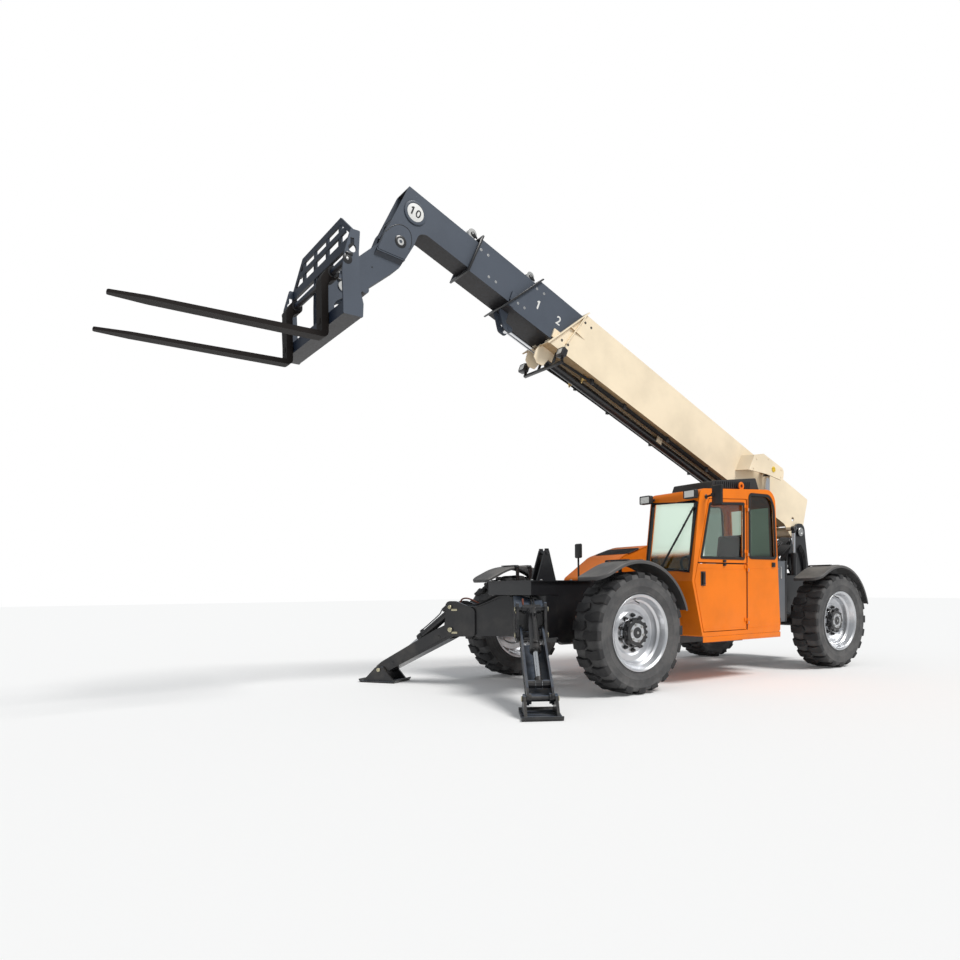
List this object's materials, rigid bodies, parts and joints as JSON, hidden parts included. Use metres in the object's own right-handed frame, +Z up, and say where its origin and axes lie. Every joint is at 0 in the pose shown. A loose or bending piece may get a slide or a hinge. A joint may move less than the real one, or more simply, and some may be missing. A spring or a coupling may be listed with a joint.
{
  "type": "telehandler",
  "caption": "Telescopic handler with a four-part boom, fork carriage, side cab, engine housing, steered wheels and front stabilizers.",
  "frame": {"origin": "middle of the footprint on the floor", "axes": "+X to the front, along the boom; +Y to the driver's left, the cab's side; +Z up"},
  "size_m": [9.044, 3.637, 4.901],
  "materials": {
    "orange_paint": "gloss",
    "cream_paint": "gloss",
    "boom_grey": "satin",
    "black_paint": "satin",
    "grey_plastic": "textured",
    "tank_grey": "satin",
    "tyre_rubber": "matte",
    "rim_silver": "satin",
    "chrome_rod": "polished",
    "tinted_glass": "polished",
    "seat_cover": "matte",
    "cab_plastic": "matte",
    "engine_iron": "cast"
  },
  "bodies": {
    "chassis": {"chassis_frame": "black_paint", "stabilizer_beam": "black_paint", "front_axle": "black_paint", "rear_axle": "black_paint", "driveline": "black_paint", "engine_block": "engine_iron", "engine_pod": "orange_paint", "cab_shell": "orange_paint", "cab_glass": "tinted_glass", "cab_seat": "seat_cover", "seat_base": "cab_plastic", "cab_console": "cab_plastic", "roof_vent": "cab_plastic", "hydraulic_tank": "tank_grey", "mirrors_and_lamps": "cab_plastic"},
    "hood": {"engine_hood": "orange_paint"},
    "lower_door": {"door_lower": "orange_paint"},
    "upper_door": {"door_upper": "orange_paint", "door_glass": "tinted_glass"},
    "knuckle_front_left": {"knuckle_front_left": "black_paint", "fender_front_left": "grey_plastic"},
    "wheel_front_left": {"rim_front_left": "rim_silver", "tyre_front_left": "tyre_rubber"},
    "knuckle_front_right": {"knuckle_front_right": "black_paint", "fender_front_right": "grey_plastic"},
    "wheel_front_right": {"rim_front_right": "rim_silver", "tyre_front_right": "tyre_rubber"},
    "knuckle_rear_left": {"knuckle_rear_left": "black_paint", "fender_rear_left": "grey_plastic"},
    "wheel_rear_left": {"rim_rear_left": "rim_silver", "tyre_rear_left": "tyre_rubber"},
    "knuckle_rear_right": {"knuckle_rear_right": "black_paint", "fender_rear_right": "grey_plastic"},
    "wheel_rear_right": {"rim_rear_right": "rim_silver", "tyre_rear_right": "tyre_rubber"},
    "boom_base": {"boom_base": "cream_paint", "boom_lights": "black_paint", "extend_barrel": "black_paint"},
    "section_2": {"boom_section_2": "boom_grey", "extend_rod": "chrome_rod"},
    "section_3": {"boom_section_3": "boom_grey"},
    "section_4": {"boom_section_4": "boom_grey"},
    "carriage": {"fork_carriage": "black_paint"},
    "fork_left": {"fork_left": "black_paint"},
    "fork_right": {"fork_right": "black_paint"},
    "tilt_barrel": {"tilt_barrel": "black_paint"},
    "tilt_rod": {"tilt_rod": "chrome_rod"},
    "lift_barrel": {"lift_barrel": "black_paint"},
    "lift_rod": {"lift_rod": "chrome_rod"},
    "level_barrel": {"level_barrel": "black_paint"},
    "level_rod": {"level_rod": "chrome_rod"},
    "stabilizer_leg_left": {"stabilizer_leg_left": "black_paint"},
    "stabilizer_foot_left": {"stabilizer_foot_left": "black_paint"},
    "stabilizer_barrel_left": {"stabilizer_barrel_left": "black_paint"},
    "stabilizer_rod_left": {"stabilizer_rod_left": "chrome_rod"},
    "stabilizer_leg_right": {"stabilizer_leg_right": "black_paint"},
    "stabilizer_foot_right": {"stabilizer_foot_right": "black_paint"},
    "stabilizer_barrel_right": {"stabilizer_barrel_right": "black_paint"},
    "stabilizer_rod_right": {"stabilizer_rod_right": "chrome_rod"}
  },
  "joints": [
    {"name": "hood_hinge", "type": "hinge", "parent": "chassis", "child": "hood", "pos_m": [-2.462, -0.431, 1.65], "axis": [-1, 0, 0], "range_deg": [0, 65]},
    {"name": "lower_door_hinge", "type": "hinge", "parent": "chassis", "child": "lower_door", "pos_m": [-1.738, 1.172, 1], "axis": [0, 0, 1], "range_deg": [0, 100]},
    {"name": "upper_door_hinge", "type": "hinge", "parent": "chassis", "child": "upper_door", "pos_m": [-1.738, 1.172, 1.7], "axis": [0, 0, 1], "range_deg": [0, 100]},
    {"name": "steer_front_left", "type": "hinge", "parent": "chassis", "child": "knuckle_front_left", "pos_m": [0.038, 0.79, 0.6235], "axis": [0, 0, 1], "range_deg": [-35, 35]},
    {"name": "wheel_front_left_spin", "type": "hinge", "parent": "knuckle_front_left", "child": "wheel_front_left", "pos_m": [0.038, 1.03, 0.6235], "axis": [0, 1, 0], "continuous": true},
    {"name": "steer_front_right", "type": "hinge", "parent": "chassis", "child": "knuckle_front_right", "pos_m": [0.038, -0.79, 0.6235], "axis": [0, 0, 1], "range_deg": [-35.5, 35.5]},
    {"name": "wheel_front_right_spin", "type": "hinge", "parent": "knuckle_front_right", "child": "wheel_front_right", "pos_m": [0.038, -1.03, 0.6235], "axis": [0, 1, 0], "continuous": true},
    {"name": "steer_rear_left", "type": "hinge", "parent": "chassis", "child": "knuckle_rear_left", "pos_m": [-3.692, 0.79, 0.6235], "axis": [0, 0, 1], "range_deg": [-35, 35]},
    {"name": "wheel_rear_left_spin", "type": "hinge", "parent": "knuckle_rear_left", "child": "wheel_rear_left", "pos_m": [-3.692, 1.03, 0.6235], "axis": [0, 1, 0], "continuous": true},
    {"name": "steer_rear_right", "type": "hinge", "parent": "chassis", "child": "knuckle_rear_right", "pos_m": [-3.692, -0.79, 0.6235], "axis": [0, 0, 1], "range_deg": [-35.5, 35.5]},
    {"name": "wheel_rear_right_spin", "type": "hinge", "parent": "knuckle_rear_right", "child": "wheel_rear_right", "pos_m": [-3.692, -1.03, 0.6235], "axis": [0, 1, 0], "continuous": true},
    {"name": "boom_lift", "type": "hinge", "parent": "chassis", "child": "boom_base", "pos_m": [-4.212, 0, 1.884], "axis": [0, -1, 0], "range_deg": [-25, 48]},
    {"name": "boom_extend", "type": "slide", "parent": "boom_base", "child": "section_2", "axis": [0.9272, 0, 0.3746], "range_m": [-0.43, 3.07]},
    {"name": "section_3_slide", "type": "slide", "parent": "section_2", "child": "section_3", "axis": [0.9272, 0, 0.3746], "range_m": [-0.435, 3.075]},
    {"name": "section_4_slide", "type": "slide", "parent": "section_3", "child": "section_4", "axis": [0.9272, 0, 0.3746], "range_m": [-0.435, 3.075]},
    {"name": "carriage_tilt", "type": "hinge", "parent": "section_4", "child": "carriage", "pos_m": [2.678, 0, 3.79], "axis": [0, 1, 0], "range_deg": [-37, 70]},
    {"name": "fork_left_slide", "type": "slide", "parent": "carriage", "child": "fork_left", "axis": [0, 1, 0], "range_m": [-0.21, 0.27]},
    {"name": "fork_right_slide", "type": "slide", "parent": "carriage", "child": "fork_right", "axis": [0, -1, 0], "range_m": [-0.31, 0.17]},
    {"name": "lift_barrel_swing", "type": "hinge", "parent": "chassis", "child": "lift_barrel", "pos_m": [-3.292, 0, 0.72], "axis": [0, -1, 0], "range_deg": [-10.59, 20.33]},
    {"name": "lift_rod_slide", "type": "slide", "parent": "lift_barrel", "child": "lift_rod", "axis": [-0.0362, 0, 0.9993], "range_m": [-0.34108, 0.65487]},
    {"name": "level_barrel_swing", "type": "hinge", "parent": "chassis", "child": "level_barrel", "pos_m": [-3.98, 0.312, 0.94], "axis": [0, -1, 0], "range_deg": [-1.99, 3.82]},
    {"name": "level_rod_slide", "type": "slide", "parent": "level_barrel", "child": "level_rod", "axis": [0, 0, 1], "range_m": [-0.09621, 0.18473]},
    {"name": "tilt_barrel_swing", "type": "hinge", "parent": "section_4", "child": "tilt_barrel", "pos_m": [2.11041, 0, 4.34782], "axis": [0, -1, 0], "range_deg": [-0.53, 1.01]},
    {"name": "tilt_rod_slide", "type": "slide", "parent": "tilt_barrel", "child": "tilt_rod", "axis": [0.826, 0, -0.5637], "range_m": [-0.07757, 0.14675]},
    {"name": "stabilizer_leg_left_swing", "type": "hinge", "parent": "chassis", "child": "stabilizer_leg_left", "pos_m": [1.049, 0.715, 0.627], "axis": [0.8462, -0.5329, 0], "range_deg": [-11, 80]},
    {"name": "stabilizer_foot_left_swing", "type": "hinge", "parent": "stabilizer_leg_left", "child": "stabilizer_foot_left", "pos_m": [1.54801, 1.50742, 0.14986], "axis": [0.8462, -0.5329, 0], "range_deg": [-25, 25]},
    {"name": "stabilizer_barrel_left_swing", "type": "hinge", "parent": "chassis", "child": "stabilizer_barrel_left", "pos_m": [1.049, 0.715, 0.88], "axis": [0.8462, -0.5329, 0], "range_deg": [-10.9, 79.25]},
    {"name": "stabilizer_rod_left_slide", "type": "slide", "parent": "stabilizer_barrel_left", "child": "stabilizer_rod_left", "axis": [0.4193, 0.6658, -0.6172], "range_m": [-0.3314, 0.04557]},
    {"name": "stabilizer_leg_right_swing", "type": "hinge", "parent": "chassis", "child": "stabilizer_leg_right", "pos_m": [1.049, -0.715, 0.627], "axis": [-0.8462, -0.5329, 0], "range_deg": [-11, 80]},
    {"name": "stabilizer_foot_right_swing", "type": "hinge", "parent": "stabilizer_leg_right", "child": "stabilizer_foot_right", "pos_m": [1.54801, -1.50742, 0.14986], "axis": [-0.8462, -0.5329, 0], "range_deg": [-25, 25]},
    {"name": "stabilizer_barrel_right_swing", "type": "hinge", "parent": "chassis", "child": "stabilizer_barrel_right", "pos_m": [1.049, -0.715, 0.88], "axis": [-0.8462, -0.5329, 0], "range_deg": [-10.9, 79.25]},
    {"name": "stabilizer_rod_right_slide", "type": "slide", "parent": "stabilizer_barrel_right", "child": "stabilizer_rod_right", "axis": [0.4193, -0.6658, -0.6172], "range_m": [-0.3314, 0.04557]}
  ],
  "couplings": [
    {"joint": "steer_front_right", "follows": "steer_front_left", "ratio": 1},
    {"joint": "steer_rear_right", "follows": "steer_rear_left", "ratio": 1},
    {"joint": "section_3_slide", "follows": "boom_extend", "ratio": 1},
    {"joint": "section_4_slide", "follows": "boom_extend", "ratio": 1},
    {"joint": "lift_barrel_swing", "follows": "boom_lift", "ratio": 0.41522},
    {"joint": "lift_rod_slide", "follows": "boom_lift", "m_per_rad": 0.76637},
    {"joint": "level_barrel_swing", "follows": "boom_lift", "ratio": 0.078069},
    {"joint": "level_rod_slide", "follows": "boom_lift", "m_per_rad": 0.21618},
    {"joint": "tilt_barrel_swing", "follows": "carriage_tilt", "ratio": 0.014117},
    {"joint": "tilt_rod_slide", "follows": "carriage_tilt", "m_per_rad": 0.11776},
    {"joint": "stabilizer_barrel_left_swing", "follows": "stabilizer_leg_left_swing", "ratio": 0.97124},
    {"joint": "stabilizer_rod_left_slide", "follows": "stabilizer_leg_left_swing", "m_per_rad": -0.2327},
    {"joint": "stabilizer_barrel_right_swing", "follows": "stabilizer_leg_right_swing", "ratio": 0.97124},
    {"joint": "stabilizer_rod_right_slide", "follows": "stabilizer_leg_right_swing", "m_per_rad": -0.2327}
  ]
}
